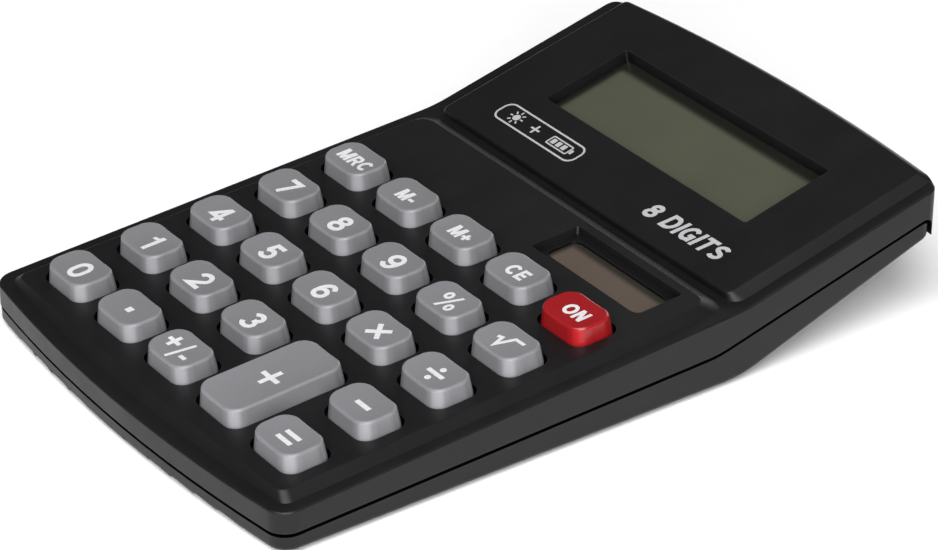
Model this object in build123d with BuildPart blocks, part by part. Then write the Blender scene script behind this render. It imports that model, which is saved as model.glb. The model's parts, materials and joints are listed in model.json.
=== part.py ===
from build123d import *
import os
from math import cos, radians, sin, sqrt, tan

# Desk calculator, millimetres. X runs across the keys, +Y runs from the user to the display,
# +Z is up. The origin is on the table, under the middle of the outline.

# ---------------------------------------------------------------- driving dimensions

half_width = 35.3
front_y = -54.1
rear_y = 54.1
front_radius = 255.0
rear_radius = 342.0
front_corner = 3.0
rear_corner = 1.8

foot_stand = 0.4
bottom_rise_angle = 18.76
bottom_rise_y = 19.6
bottom_bend_radius = 16.0
bottom_edge_radius = 0.8
rear_foot_z = 12.1

deck_angle = 3.66
deck_z = 10.49
display_angle = 13.52
display_ref = (28.93, 13.96)
bevel_drop = 1.06
bevel_run = 1.5
rim_bend_radius = 25.0
rim_edge_radius = 0.3
deck_edge_radius = 0.3
display_edge_radius = 0.5

parting_angle = 2.03
parting_z = 4.9
parting_rise_angle = 14.05
parting_ref = (29.15, 8.87)
parting_bend_radius = 15.0
parting_corner_radius = 1.4
shadow_gap = 0.6
lower_inset = 0.12

wall = 1.6
rear_wall = 0.7
rear_gap = 0.15
floor_thickness = 1.2
deck_thickness = 1.8
display_thickness = 2.1
tongue_clearance = 0.12
tongue_thickness = 0.7
tongue_height = 0.9

plateau_half = 32.0
plateau_front_y = -50.3
plateau_front_radius = 800.0
straight = 5000.0
plateau_rear_y = 16.2
plateau_rear_run = 2.1
display_front_y = 19.3
display_front_run = 0.5
display_rear_y = 53.2
display_rear_run = 1.1

# ---------------------------------------------------------------- keys

column_pitch = 12.6
row_pitch = 10.95
key_top_half = (4.42, 3.08)
key_top_corner = 2.25
key_base_half = (4.74, 3.42)
key_base_corner = 2.4
key_height = 2.3
key_taper_depth = 0.43
key_edge_radius = 0.35
key_dish_radius = 42.0
key_dish_depth = 0.26
key_hole_half = (5.0, 3.62)
key_hole_corner = 2.0
flange_half = (5.75, 4.2)
flange_thickness = 0.8
flange_gap = 0.05
key_travel = 1.0
plunger_radius = 1.5

key_layout = {
    "key_mrc": (-2, 0),
    "key_m_minus": (-1, 0),
    "key_m_plus": (0, 0),
    "key_ce": (1, 0),
    "key_on": (2, 0),
    "key_7": (-2, 1),
    "key_8": (-1, 1),
    "key_9": (0, 1),
    "key_percent": (1, 1),
    "key_root": (2, 1),
    "key_4": (-2, 2),
    "key_5": (-1, 2),
    "key_6": (0, 2),
    "key_multiply": (1, 2),
    "key_divide": (2, 2),
    "key_1": (-2, 3),
    "key_2": (-1, 3),
    "key_3": (0, 3),
    "key_plus": (1, 3.5),
    "key_minus": (2, 3),
    "key_0": (-2, 4),
    "key_point": (-1, 4),
    "key_sign": (0, 4),
    "key_equals": (2, 4),
}
tall_key = "key_plus"

# ---------------------------------------------------------------- stack under the deck

dome_height = key_travel + 0.3
mat_thickness = 0.6
board_thickness = 1.0
flange_bottom = -(deck_thickness + flange_gap + flange_thickness)
mat_top = flange_bottom - dome_height
board_top = mat_top - mat_thickness
board_bottom = board_top - board_thickness
face_gap = 0.02

board_half = 31.6
board_front = -48.0
board_rear = 6.6
board_screw_spots = [(-18.9, -5.475), (18.9, -5.475), (6.3, -16.425)]
board_screw_spots += [(-6.3, -27.375), (18.9, -27.375), (-18.9, -38.325)]
board_boss_radius = 1.3
board_pilot_radius = 0.6

# ---------------------------------------------------------------- windows

lcd_centre_y = 37.2
lcd_outer = (44.4, 14.7)
lcd_inner = (43.8, 14.1)
lcd_depth = 1.8

solar_centre = (17.2, 10.8)
solar_outer = (22.4, 7.9)
solar_ledge = (21.8, 7.3)
solar_ledge_depth = 1.05
solar_window = (19.9, 5.3)
solar_window_corner = 1.3
solar_depth = 1.5

glass_size = (48.0, 18.8)
glass_ledge = 1.6
plate_thickness = 0.7
polariser_thickness = 0.2
reflector_thickness = 0.25

# ---------------------------------------------------------------- fasteners and battery

housing_screw_spots = [(-28.0, -50.3), (28.0, -50.3), (-31.0, 10.5), (31.0, 10.5)]
housing_screw_spots += [(-29.0, 47.3), (29.0, 47.3)]
housing_screw_lengths = [3.3, 3.3, 6.0, 6.0, 3.8, 3.8]
upper_boss_radius = 1.9
lower_boss_radius = 2.6
screw_radius = 0.9
screw_pilot_radius = 0.93
screw_pass_radius = 1.1
screw_head_radius = 1.6
screw_head_height = 1.2
head_recess_radius = 1.8
head_seat_rise = 1.5

foot_radius = 3.5
foot_recess = 0.5
foot_spots = [(-27.0, -42.0), (27.0, -42.0), (-28.5, 2.5), (28.5, 2.5)]

battery_centre = (-14.0, 10.8)
battery_radius = 5.8
battery_height = 3.05
battery_bottom = 1.6
battery_headroom = 0.45
well_radius = 6.0
well_wall = 1.0
well_roof = 0.6
door_centre = (-14.0, 9.3)
door_size = (20.0, 17.0)
door_gap = 0.2
door_plate = 0.6
door_pad = 0.5
door_screw_y = 2.6
door_screw_radius = 0.68

os.makedirs("parts", exist_ok=True)


# ---------------------------------------------------------------- reference planes and lines

def tilted_plane(y, z, angle):
    """A plane through (0, y, z) that rises towards +Y at the given angle."""
    return Plane(
        origin=(0, y, z),
        x_dir=(1, 0, 0),
        z_dir=(0, -sin(radians(angle)), cos(radians(angle))),
    )


deck_plane = tilted_plane(0, deck_z, deck_angle)
display_plane = tilted_plane(*display_ref, display_angle)


def line_height(y, ref_y, ref_z, angle):
    """The height at y of a side-view line through a point, rising at an angle."""
    return ref_z + (y - ref_y) * tan(radians(angle))


def lines_meet(ref_a, angle_a, ref_b, angle_b):
    """Where two side-view lines cross, each given by a point and an angle."""
    slope_a = tan(radians(angle_a))
    slope_b = tan(radians(angle_b))
    y = (ref_b[1] - ref_a[1] + slope_a * ref_a[0] - slope_b * ref_b[0]) / (slope_a - slope_b)
    return (y, ref_a[1] + slope_a * (y - ref_a[0]))


def below(ref, depth, angle):
    """A line's reference point moved down, so that the line is parallel at that depth."""
    return (ref[0], ref[1] - depth / cos(radians(angle)))


def bottom_height(y):
    """Height of the outer underside at y."""
    rise = line_height(y, bottom_rise_y, foot_stand, bottom_rise_angle)
    return max(foot_stand, rise)


def parting_points(shift):
    """Side-view points of the joint between the housings: front end, bend and rear end."""
    keypad_ref = (0, parting_z + shift)
    display_part_ref = (parting_ref[0], parting_ref[1] + shift)
    front = front_y - 6
    rear = rear_y + 6
    return [
        (front, line_height(front, *keypad_ref, parting_angle)),
        lines_meet(keypad_ref, parting_angle, display_part_ref, parting_rise_angle),
        (rear, line_height(rear, *display_part_ref, parting_rise_angle)),
    ]


def top_points(depth_keypad, depth_display, overhang=2.0):
    """Side-view points of a surface parallel to the deck and the display panel."""
    keypad_ref = below((0, deck_z), depth_keypad, deck_angle)
    display_line_ref = below(display_ref, depth_display, display_angle)
    front = front_y - overhang
    rear = rear_y + overhang
    return [
        (front, line_height(front, *keypad_ref, deck_angle)),
        lines_meet(keypad_ref, deck_angle, display_line_ref, display_angle),
        (rear, line_height(rear, *display_line_ref, display_angle)),
    ]


# ---------------------------------------------------------------- outlines

def bow(radius, x):
    """Sagitta of an arc of that radius at a distance x from its middle."""
    return radius - sqrt(radius * radius - x * x)


def plan_outline(inset=0.0, half_x=half_width, front=front_y, rear=rear_y):
    """The plan outline: straight sides, bowed front and rear, rounded corners."""
    x = half_x - inset
    y0 = front + inset
    y1 = rear - inset
    corner_front = max(front_corner - inset, 0.6)
    corner_rear = max(rear_corner - inset, 0.6)
    front_left = (-x, y0 + bow(front_radius, x))
    front_right = (x, front_left[1])
    rear_left = (-x, y1 - bow(rear_radius, x))
    rear_right = (x, rear_left[1])
    with BuildSketch() as outline:
        with BuildLine():
            ThreePointArc(front_left, (0, y0), front_right)
            Line(front_right, rear_right)
            ThreePointArc(rear_right, (0, y1), rear_left)
            Line(rear_left, front_left)
        make_face()
        fillet(outline.vertices().group_by(Axis.Y)[0], corner_front)
        fillet(outline.vertices().group_by(Axis.Y)[-1], corner_rear)
    return outline.sketch


def bowed_rectangle(half_x, front, rear, front_arc, rear_arc, corner_front, corner_rear):
    """A rectangle with bowed front and rear edges and its own front and rear corner radii."""
    front_left = (-half_x, front + bow(front_arc, half_x))
    front_right = (half_x, front_left[1])
    rear_left = (-half_x, rear - bow(rear_arc, half_x))
    rear_right = (half_x, rear_left[1])
    with BuildSketch() as outline:
        with BuildLine():
            ThreePointArc(front_left, (0, front), front_right)
            Line(front_right, rear_right)
            ThreePointArc(rear_right, (0, rear), rear_left)
            Line(rear_left, front_left)
        make_face()
        fillet(outline.vertices().group_by(Axis.Y)[0], corner_front)
        fillet(outline.vertices().group_by(Axis.Y)[-1], corner_rear)
    return outline.sketch


def side_profile(points, bends):
    """A closed side-view face, with some of its corners rounded: {point index: radius}."""
    with BuildSketch() as profile:
        with BuildLine():
            Polyline(*points, close=True)
        make_face()
        for index, radius in bends.items():
            fillet(profile.vertices().sort_by_distance(Vector(*points[index]))[0], radius)
    return profile.sketch


# ---------------------------------------------------------------- bodies shared by both housings

def side_extrusion(points, bends, half_x=half_width + 6):
    """A side-view profile run straight across the object."""
    face = side_profile(points, bends)
    with BuildPart() as body:
        with BuildSketch(Plane.YZ):
            add(face)
        extrude(amount=half_x, both=True)
    return body.part


def tray_space(drop, setback):
    """Everything under the joint line and ahead of the rear wall, with its top rear edge rounded."""
    front, bend, rear = parting_points(-drop)
    points = [(front[0], -6), front, bend, rear, (rear[0], -6)]
    with BuildPart() as space:
        add(side_extrusion(points, {2: parting_bend_radius}))
        with BuildSketch(Plane.XY.offset(-8)):
            add(plan_outline(half_x=half_width + 5, front=front_y - 5, rear=rear_y - setback))
        extrude(amount=50, mode=Mode.INTERSECT)
        rear_face = space.faces().sort_by(Axis.Y)[-1]
        fillet(rear_face.edges().sort_by(Axis.Z)[-1], parting_corner_radius)
    return space.part


def plan_prism(inset):
    """The plan outline, inset, run straight up."""
    outline = plan_outline(inset)
    with BuildPart() as prism:
        with BuildSketch(Plane.XY.offset(-8)):
            add(outline)
        extrude(amount=50)
    return prism.part


def rectangle_loft(plane, centre, size_top, size_bottom, depth, corner_top, corner_bottom):
    """A tapered pocket below a plane, from one rounded rectangle to another."""
    top = plane.shift_origin(plane.from_local_coords((centre[0], centre[1], 0)))
    lift = 0.4
    grow = lift / depth
    over = [size_top[i] + (size_top[i] - size_bottom[i]) * grow for i in (0, 1)]
    with BuildPart() as pocket:
        with BuildSketch(top.offset(lift)):
            RectangleRounded(*over, corner_top)
        with BuildSketch(top.offset(-depth)):
            RectangleRounded(*size_bottom, corner_bottom)
        loft(ruled=True)
    return pocket.part


def box_below(plane, centre, size, top, bottom, corner=0.5):
    """A rounded box between two depths under a plane."""
    base = plane.shift_origin(plane.from_local_coords((centre[0], centre[1], 0)))
    with BuildPart() as block:
        with BuildSketch(base.offset(-bottom)):
            RectangleRounded(*size, corner)
        extrude(amount=bottom - top)
    return block.part


def key_plane(column, row):
    """The deck plane, moved to the middle of a key."""
    spot = deck_plane.from_local_coords((column * column_pitch, -row * row_pitch, 0))
    return deck_plane.shift_origin(spot)


def stretch(half_size, name):
    """Full size of a key's rectangle; the double-height key spans two rows."""
    extra = row_pitch if name == tall_key else 0
    return (2 * half_size[0], 2 * half_size[1] + extra)


# ---------------------------------------------------------------- upper housing

def raised_panel(plane, top, foot, depth, edge_radius):
    """A panel that stands up from the rim: a face, bevelled down to a larger foot outline."""
    with BuildPart() as panel:
        with BuildSketch(plane):
            add(top)
        with BuildSketch(plane.offset(-depth)):
            add(foot)
        loft(ruled=True)
        face = panel.faces().filter_by(lambda f: f.normal_at().dot(plane.z_dir) > 0.999)
        fillet(face.edges(), edge_radius)
        add(plan_prism(0), mode=Mode.INTERSECT)
    return panel.part


def keypad_plateau():
    """The raised keypad deck."""
    reach = 1.5
    run = bevel_run * reach
    rear_run = plateau_rear_run * reach
    front = plateau_front_y
    rear = plateau_rear_y
    top = bowed_rectangle(plateau_half, front, rear, plateau_front_radius, straight, 1.2, 2.4)
    foot = bowed_rectangle(
        plateau_half + run, front - run - 0.15, rear + rear_run, front_radius, straight, 1.6, 3.2
    )
    return raised_panel(deck_plane, top, foot, bevel_drop * reach, deck_edge_radius)


def display_plateau():
    """The raised display panel: bevelled sides, a steep front face and a rear edge at the wall."""
    reach = 1.5
    run = bevel_run * reach
    front = (display_front_y - display_ref[0]) / cos(radians(display_angle))
    rear = (display_rear_y - display_ref[0]) / cos(radians(display_angle))
    front_foot = front - display_front_run * reach
    rear_foot = rear + display_rear_run * reach
    top = bowed_rectangle(plateau_half, front, rear, straight, rear_radius, 0.8, 0.8)
    foot = bowed_rectangle(plateau_half + run, front_foot, rear_foot, straight, rear_radius, 2.4, 0.9)
    return raised_panel(display_plane, top, foot, bevel_drop * reach, display_edge_radius)


def perimeter(faces):
    """The outer edges of a run of faces, without the straight edges that cross the object."""
    crossing = 60.0
    edges = faces.edges()
    return edges.filter_by(lambda e: e.geom_type != GeomType.LINE or abs((e @ 1 - e @ 0).X) < crossing)


rim = top_points(bevel_drop, bevel_drop)
foot_y = bottom_rise_y + (rear_foot_z - foot_stand) / tan(radians(bottom_rise_angle))
shell_points = [
    (front_y - 2, foot_stand),
    (bottom_rise_y, foot_stand),
    (foot_y, rear_foot_z),
    (rear_y + 2, rear_foot_z),
    rim[2],
    rim[1],
    rim[0],
]

inner_top = top_points(deck_thickness, display_thickness, overhang=1.0)
upper_cavity_points = [(inner_top[0][0], -5), inner_top[0], inner_top[1], inner_top[2], (inner_top[2][0], -5)]

with BuildPart() as upper_cavity:
    add(side_extrusion(upper_cavity_points, {}))
    add(plan_prism(wall), mode=Mode.INTERSECT)
    with BuildSketch(Plane.XY.offset(-6)):
        with Locations(*housing_screw_spots):
            Circle(upper_boss_radius)
    extrude(amount=40, mode=Mode.SUBTRACT)
    with BuildSketch(deck_plane):
        with Locations(*board_screw_spots):
            Circle(board_boss_radius)
    extrude(amount=-12, mode=Mode.SUBTRACT)

lcd_local_y = (lcd_centre_y - display_ref[0]) / cos(radians(display_angle))
lcd_spot = (0, lcd_local_y)
retainer_half = (26.7, 9.6)
retainer_boss_radius = 1.2
retainer_boss_spots = [(sx * 25.3, lcd_local_y + sy * 8.0) for sx in (-1, 1) for sy in (-1, 1)]
glass_back = lcd_depth + face_gap + polariser_thickness + 2 * plate_thickness + reflector_thickness
retainer_top = glass_back + face_gap

with BuildPart() as upper_housing:
    add(side_extrusion(shell_points, {1: bottom_bend_radius, 5: rim_bend_radius}))
    add(plan_prism(0), mode=Mode.INTERSECT)
    rim_faces = upper_housing.faces().filter_by(lambda f: f.normal_at().Z > 0.9)
    fillet(perimeter(rim_faces), rim_edge_radius)
    add(keypad_plateau())
    add(display_plateau())
    add(tray_space(0, rear_wall), mode=Mode.SUBTRACT)
    add(upper_cavity.part, mode=Mode.SUBTRACT)
    # Room for the circuit board, so that its bosses end on its face.
    board_room = (2 * board_half + 0.6, board_rear - board_front + 0.8)
    board_middle = (0, (board_rear + board_front) / 2)
    add(box_below(deck_plane, board_middle, board_room, -board_top, 14), mode=Mode.SUBTRACT)
    # Display window with drafted walls, over the pocket that the glass lies in.
    add(
        rectangle_loft(display_plane, lcd_spot, lcd_outer, lcd_inner, lcd_depth + 0.2, 0.5, 0.4),
        mode=Mode.SUBTRACT,
    )
    add(box_below(display_plane, lcd_spot, (glass_size[0] + 0.6, 22.0), lcd_depth, 4), mode=Mode.SUBTRACT)
    with BuildSketch(display_plane.offset(-display_thickness + 0.3)):
        with Locations(*retainer_boss_spots):
            Circle(retainer_boss_radius)
    extrude(amount=-(retainer_top - display_thickness + 0.3))
    with BuildSketch(display_plane.offset(-retainer_top)):
        with Locations(*retainer_boss_spots):
            Circle(board_pilot_radius)
    extrude(amount=1.6, mode=Mode.SUBTRACT)
    # Solar window: a drafted opening, then a ledge with a round-cornered hole over the cell.
    add(
        rectangle_loft(deck_plane, solar_centre, solar_outer, solar_ledge, solar_ledge_depth, 0.4, 0.4),
        mode=Mode.SUBTRACT,
    )
    add(
        box_below(deck_plane, solar_centre, solar_window, 0, 3, solar_window_corner),
        mode=Mode.SUBTRACT,
    )
    add(box_below(deck_plane, solar_centre, (24.0, 8.6), solar_depth, 3), mode=Mode.SUBTRACT)
    # Key holes.
    for key_name, (column, row) in key_layout.items():
        with BuildSketch(key_plane(column, row).offset(1)):
            RectangleRounded(*stretch(key_hole_half, key_name), key_hole_corner)
        extrude(amount=-6, mode=Mode.SUBTRACT)
    # Pilot holes for the board screws and the housing screws.
    with BuildSketch(deck_plane.offset(board_top - 0.1)):
        with Locations(*board_screw_spots):
            Circle(board_pilot_radius)
    extrude(amount=2.4, mode=Mode.SUBTRACT)
    for (x, y), length in zip(housing_screw_spots, housing_screw_lengths):
        with BuildSketch(Plane.XY.offset(bottom_height(y) + head_seat_rise)):
            with Locations((x, y)):
                Circle(screw_pilot_radius)
        extrude(amount=length + 0.3, mode=Mode.SUBTRACT)

upper_housing.part.label = "upper_housing"
export_step(upper_housing.part, "parts/upper_housing.step")


# ---------------------------------------------------------------- lower housing

floor_top = foot_stand + floor_thickness
floor_bend_y = bottom_rise_y - 0.2
floor_line = [
    (front_y - 2, floor_top),
    (floor_bend_y, floor_top),
    (rear_y + 2, line_height(rear_y + 2, floor_bend_y, floor_top, bottom_rise_angle)),
]
tray_rear_z = line_height(rear_y + 2, bottom_rise_y, foot_stand, bottom_rise_angle)
tray_points = [
    (front_y - 2, foot_stand),
    (bottom_rise_y, foot_stand),
    (rear_y + 2, tray_rear_z),
    (rear_y + 2, 30),
    (front_y - 2, 30),
]
tray_cavity_points = floor_line + [(rear_y + 2, 32), (front_y - 2, 32)]
parting_low = parting_points(-shadow_gap - 0.8)
parting_high = parting_points(tongue_height - shadow_gap)
tongue_points = parting_low + parting_high[::-1]
tray_rear_setback = rear_wall + rear_gap
tongue_inset = wall + tongue_clearance
battery_roof = battery_bottom + battery_height + battery_headroom
door_screw_spot = (door_centre[0], door_screw_y)
door_seat = foot_stand + door_plate
slot_y = door_centre[1] + door_size[1] / 2

with BuildPart() as tray_cavity:
    add(side_extrusion(tray_cavity_points, {1: bottom_bend_radius}))
    add(plan_prism(tongue_inset + tongue_thickness), mode=Mode.INTERSECT)
    with BuildSketch(Plane.XY.offset(-6)):
        with Locations(*housing_screw_spots):
            Circle(lower_boss_radius)
    extrude(amount=50, mode=Mode.SUBTRACT)

with BuildPart() as tongue:
    add(side_extrusion(tongue_points, {}))
    add(plan_prism(tongue_inset), mode=Mode.INTERSECT)
    add(plan_prism(tongue_inset + tongue_thickness), mode=Mode.SUBTRACT)
    with BuildSketch(Plane.XY.offset(-6)):
        with Locations(*housing_screw_spots):
            Circle(upper_boss_radius + 0.3)
        with Locations((0, rear_y)):
            Rectangle(80, 10)
    extrude(amount=50, mode=Mode.SUBTRACT)

with BuildPart() as lower_housing:
    add(side_extrusion(tray_points, {1: bottom_bend_radius}))
    with BuildSketch(Plane.XY.offset(-2)):
        add(plan_outline(lower_inset, rear=rear_y - tray_rear_setback + lower_inset))
    extrude(amount=40, mode=Mode.INTERSECT)
    under_faces = lower_housing.faces().filter_by(lambda f: f.normal_at().Z < -0.5)
    fillet(perimeter(under_faces), bottom_edge_radius)
    add(tray_space(shadow_gap, tray_rear_setback), mode=Mode.INTERSECT)
    add(tray_cavity.part, mode=Mode.SUBTRACT)
    add(tongue.part)
    # Battery well: a round wall and a roof over the cell, open through the floor.
    with BuildSketch(Plane.XY.offset(foot_stand + 0.6)):
        with Locations(battery_centre):
            Circle(well_radius + well_wall)
    extrude(amount=battery_roof + well_roof - foot_stand - 0.6)
    with BuildSketch(Plane.XY.offset(foot_stand + 0.6)):
        with Locations(door_screw_spot):
            Circle(3.4)
    extrude(amount=3.2)
    with BuildSketch(Plane.XY.offset(-1)):
        with Locations(battery_centre):
            Circle(well_radius)
    extrude(amount=battery_roof + 1, mode=Mode.SUBTRACT)
    # Door recess with a ledge, a seat for its screw pad and a slot for its lip.
    with BuildSketch(Plane.XY.offset(foot_stand - 1)):
        with Locations(door_centre):
            RectangleRounded(*door_size, 1.6)
    extrude(amount=door_plate + 0.05 + 1, mode=Mode.SUBTRACT)
    with BuildSketch(Plane.XY.offset(foot_stand - 1)):
        with Locations(door_screw_spot):
            Circle(2.8)
    extrude(amount=door_plate + door_pad + 0.1 + 1, mode=Mode.SUBTRACT)
    with BuildSketch(Plane.XY.offset(door_seat)):
        with Locations((door_centre[0], slot_y)):
            Rectangle(6.4, 2.8)
    extrude(amount=0.75, mode=Mode.SUBTRACT)
    with BuildSketch(Plane.XY.offset(foot_stand)):
        with Locations(door_screw_spot):
            Circle(door_screw_radius + 0.04)
    extrude(amount=3.4, mode=Mode.SUBTRACT)
    # Slots where the two battery contacts leave the well.
    with BuildSketch(Plane.XY.offset(battery_roof - 0.8)):
        with Locations((battery_centre[0], battery_centre[1] - 8)):
            Rectangle(3.4, 10)
    extrude(amount=0.8, mode=Mode.SUBTRACT)
    with BuildSketch(Plane.XY.offset(battery_bottom + 0.6)):
        with Locations((battery_centre[0] + well_radius + 0.5, battery_centre[1])):
            Rectangle(1.6, 4.4)
    extrude(amount=6, mode=Mode.SUBTRACT)
    # Recesses for the feet.
    with BuildSketch(Plane.XY.offset(foot_stand)):
        with Locations(*foot_spots):
            Circle(foot_radius + 0.15)
    extrude(amount=foot_recess, mode=Mode.SUBTRACT)
    # Screw holes with a wide recess for each head.
    for x, y in housing_screw_spots:
        with BuildSketch(Plane.XY.offset(-1)):
            with Locations((x, y)):
                Circle(screw_pass_radius)
        extrude(amount=25, mode=Mode.SUBTRACT)
        with BuildSketch(Plane.XY.offset(-1)):
            with Locations((x, y)):
                Circle(head_recess_radius)
        extrude(amount=bottom_height(y) + head_seat_rise + 1, mode=Mode.SUBTRACT)

lower_housing.part.label = "lower_housing"
export_step(lower_housing.part, "parts/lower_housing.step")

# ---------------------------------------------------------------- keycaps


def dish_cutter(plane):
    """A shallow trough along Y, which hollows the top of a keycap from side to side."""
    length = 40
    lift = key_height + key_dish_radius - key_dish_depth
    axis = Plane(origin=plane.from_local_coords((0, 0, lift)), x_dir=plane.x_dir, z_dir=plane.y_dir)
    with BuildPart() as cutter:
        with BuildSketch(axis.offset(-length / 2)):
            Circle(key_dish_radius)
        extrude(amount=length)
    return cutter.part


def make_key(name, column, row):
    """One keycap: a tapered, dished cap, a skirt through the deck, a flange and a plunger."""
    plane = key_plane(column, row)
    top_size = stretch(key_top_half, name)
    base_size = stretch(key_base_half, name)
    hollow = [size - 2.4 for size in base_size]
    rows_down = [row] if name != tall_key else [row - 0.5, row + 0.5]
    with BuildPart() as key:
        with BuildSketch(plane.offset(-key_taper_depth)):
            RectangleRounded(*base_size, key_base_corner)
        with BuildSketch(plane.offset(key_height)):
            RectangleRounded(*top_size, key_top_corner)
        loft(ruled=True)
        with BuildSketch(plane.offset(-deck_thickness - flange_gap)):
            RectangleRounded(*base_size, key_base_corner)
        extrude(amount=deck_thickness + flange_gap - key_taper_depth)
        with BuildSketch(plane.offset(flange_bottom)):
            RectangleRounded(*stretch(flange_half, name), 1.5)
        extrude(amount=flange_thickness)
        dish = dish_cutter(plane)
        add(dish, mode=Mode.SUBTRACT)
        crown = key.faces().filter_by(lambda f: f.geom_type in (GeomType.CYLINDER, GeomType.SPHERE))
        crown = crown.sort_by(lambda f: (f.center() - plane.origin).dot(plane.z_dir))[-1]
        fillet(crown.edges(), key_edge_radius)
        with BuildSketch(plane.offset(flange_bottom)):
            RectangleRounded(*hollow, 1.4)
        extrude(amount=-flange_bottom + 0.6, mode=Mode.SUBTRACT)
        for down in rows_down:
            with BuildSketch(key_plane(column, down).offset(flange_bottom)):
                Circle(plunger_radius)
            extrude(amount=-flange_bottom + 1.0)
    key.part.label = name
    export_step(key.part, f"parts/{name}.step")


for key_name, (column, row) in key_layout.items():
    make_key(key_name, column, row)


# ---------------------------------------------------------------- key mat and circuit board

dome_reach = dome_height - 2 * face_gap
dome_spots = [(column, row) for name, (column, row) in key_layout.items() if name != tall_key]
tall_column, tall_row = key_layout[tall_key]
dome_spots += [(tall_column, tall_row - 0.5), (tall_column, tall_row + 0.5)]
mat_front = -47.9
mat_rear = 4.6
mat_size = (61.2, mat_rear - mat_front)

with BuildPart() as key_mat:
    with BuildSketch(deck_plane.offset(board_top + face_gap)):
        with Locations((0, (mat_front + mat_rear) / 2)):
            RectangleRounded(*mat_size, 1.5)
        with Locations(*board_screw_spots):
            Circle(1.6, mode=Mode.SUBTRACT)
    extrude(amount=mat_thickness - face_gap)
    for column, row in dome_spots:
        base = key_plane(column, row).offset(mat_top)
        with BuildSketch(base):
            Circle(3.0)
        with BuildSketch(base.offset(dome_reach)):
            Circle(2.0)
        loft(ruled=True)
    for column, row in dome_spots:
        base = key_plane(column, row).offset(board_top)
        with BuildSketch(base):
            Circle(2.4)
        with BuildSketch(base.offset(mat_thickness + dome_reach - 0.6)):
            Circle(1.4)
        loft(ruled=True, mode=Mode.SUBTRACT)

key_mat.part.label = "key_mat"
export_step(key_mat.part, "parts/key_mat.step")

with BuildPart() as main_board:
    with BuildSketch(deck_plane.offset(board_bottom)):
        with Locations((0, (board_front + board_rear) / 2)):
            RectangleRounded(2 * board_half, board_rear - board_front, 1.0)
        with Locations(*board_screw_spots):
            Circle(0.75, mode=Mode.SUBTRACT)
    extrude(amount=board_thickness)
    with BuildSketch(Plane.XY):
        with Locations(battery_centre):
            Circle(well_radius + well_wall + 0.4)
    extrude(amount=12, mode=Mode.SUBTRACT)

main_board.part.label = "main_board"
export_step(main_board.part, "parts/main_board.step")

under_board = board_bottom - face_gap

with BuildPart() as chip_blob:
    with BuildSketch(deck_plane.offset(under_board - 1.2)):
        with Locations((0, -8.0)):
            Circle(4.2)
    extrude(amount=1.2)
    fillet(chip_blob.edges().group_by(Axis.Z)[0], 0.9)

chip_blob.part.label = "chip_blob"
export_step(chip_blob.part, "parts/chip_blob.step")

chip_spots = [(9.0, -2.0), (9.0, -5.0), (-9.0, -14.0), (-12.5, -14.0)]

with BuildPart() as chip_capacitors:
    with BuildSketch(deck_plane.offset(under_board - 0.8)):
        with Locations(*chip_spots):
            Rectangle(2.0, 1.25)
    extrude(amount=0.8)

chip_capacitors.part.label = "chip_capacitors"
export_step(chip_capacitors.part, "parts/chip_capacitors.step")


def lying_component(centre, radius, length, lead_radius):
    """A round component lying under the board, on one wire that is bent up at both ends."""
    axis_depth = under_board - radius - 0.1
    middle = deck_plane.from_local_coords((*centre, axis_depth))
    side = Plane(origin=middle, x_dir=(0, 1, 0), z_dir=(1, 0, 0))
    reach = length / 2 + 0.9
    depths = [(-reach, under_board), (-reach, axis_depth), (reach, axis_depth), (reach, under_board)]
    points = [deck_plane.from_local_coords((centre[0] + x, centre[1], depth)) for x, depth in depths]
    with BuildPart() as component:
        with BuildSketch(side.offset(-length / 2)):
            Circle(radius)
        extrude(amount=length)
        fillet(component.edges().filter_by(GeomType.CIRCLE), 0.25 * radius)
        with BuildLine() as wire:
            FilletPolyline(*points, radius=2.2 * lead_radius)
        with BuildSketch(Plane(origin=wire.line @ 0, z_dir=wire.line % 0)):
            Circle(lead_radius)
        sweep()
    return component.part


electrolytic_capacitor = lying_component((21.0, -3.0), 1.3, 5.0, 0.25)
electrolytic_capacitor.label = "electrolytic_capacitor"
export_step(electrolytic_capacitor, "parts/electrolytic_capacitor.step")

clamp_diode = lying_component((-21.0, -16.0), 0.8, 3.4, 0.2)
clamp_diode.label = "clamp_diode"
export_step(clamp_diode, "parts/clamp_diode.step")


def cross_recess(plane, spots, size):
    """The cross-shaped drive recess of a screw head, cut below a plane."""
    with BuildPart() as recess:
        with BuildSketch(plane):
            with Locations(*spots):
                Rectangle(size, 0.28 * size)
                Rectangle(0.28 * size, size)
        extrude(amount=0.32 * size, both=True)
    return recess.part


board_head = 0.7
with BuildPart() as board_screws:
    with BuildSketch(deck_plane.offset(under_board - board_head)):
        with Locations(*board_screw_spots):
            Circle(1.2)
    extrude(amount=board_head)
    with BuildSketch(deck_plane.offset(under_board)):
        with Locations(*board_screw_spots):
            Circle(0.57)
    extrude(amount=3.1)
    add(cross_recess(deck_plane.offset(under_board - board_head), board_screw_spots, 1.3), mode=Mode.SUBTRACT)

board_screws.part.label = "board_screws"
export_step(board_screws.part, "parts/board_screws.step")

# ---------------------------------------------------------------- display stack

polariser_top = lcd_depth + face_gap
front_plate_top = polariser_top + polariser_thickness
rear_plate_top = front_plate_top + plate_thickness
reflector_top = rear_plate_top + plate_thickness
front_plate_size = (glass_size[0], glass_size[1] - glass_ledge)
front_plate_centre = (0, lcd_local_y + glass_ledge / 2)
ledge_middle = lcd_local_y - glass_size[1] / 2 + glass_ledge / 2

lcd_front_polariser = box_below(
    display_plane,
    front_plate_centre,
    (front_plate_size[0] - 1.0, front_plate_size[1] - 1.0),
    polariser_top,
    front_plate_top,
)
lcd_front_polariser.label = "lcd_front_polariser"
export_step(lcd_front_polariser, "parts/lcd_front_polariser.step")

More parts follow.
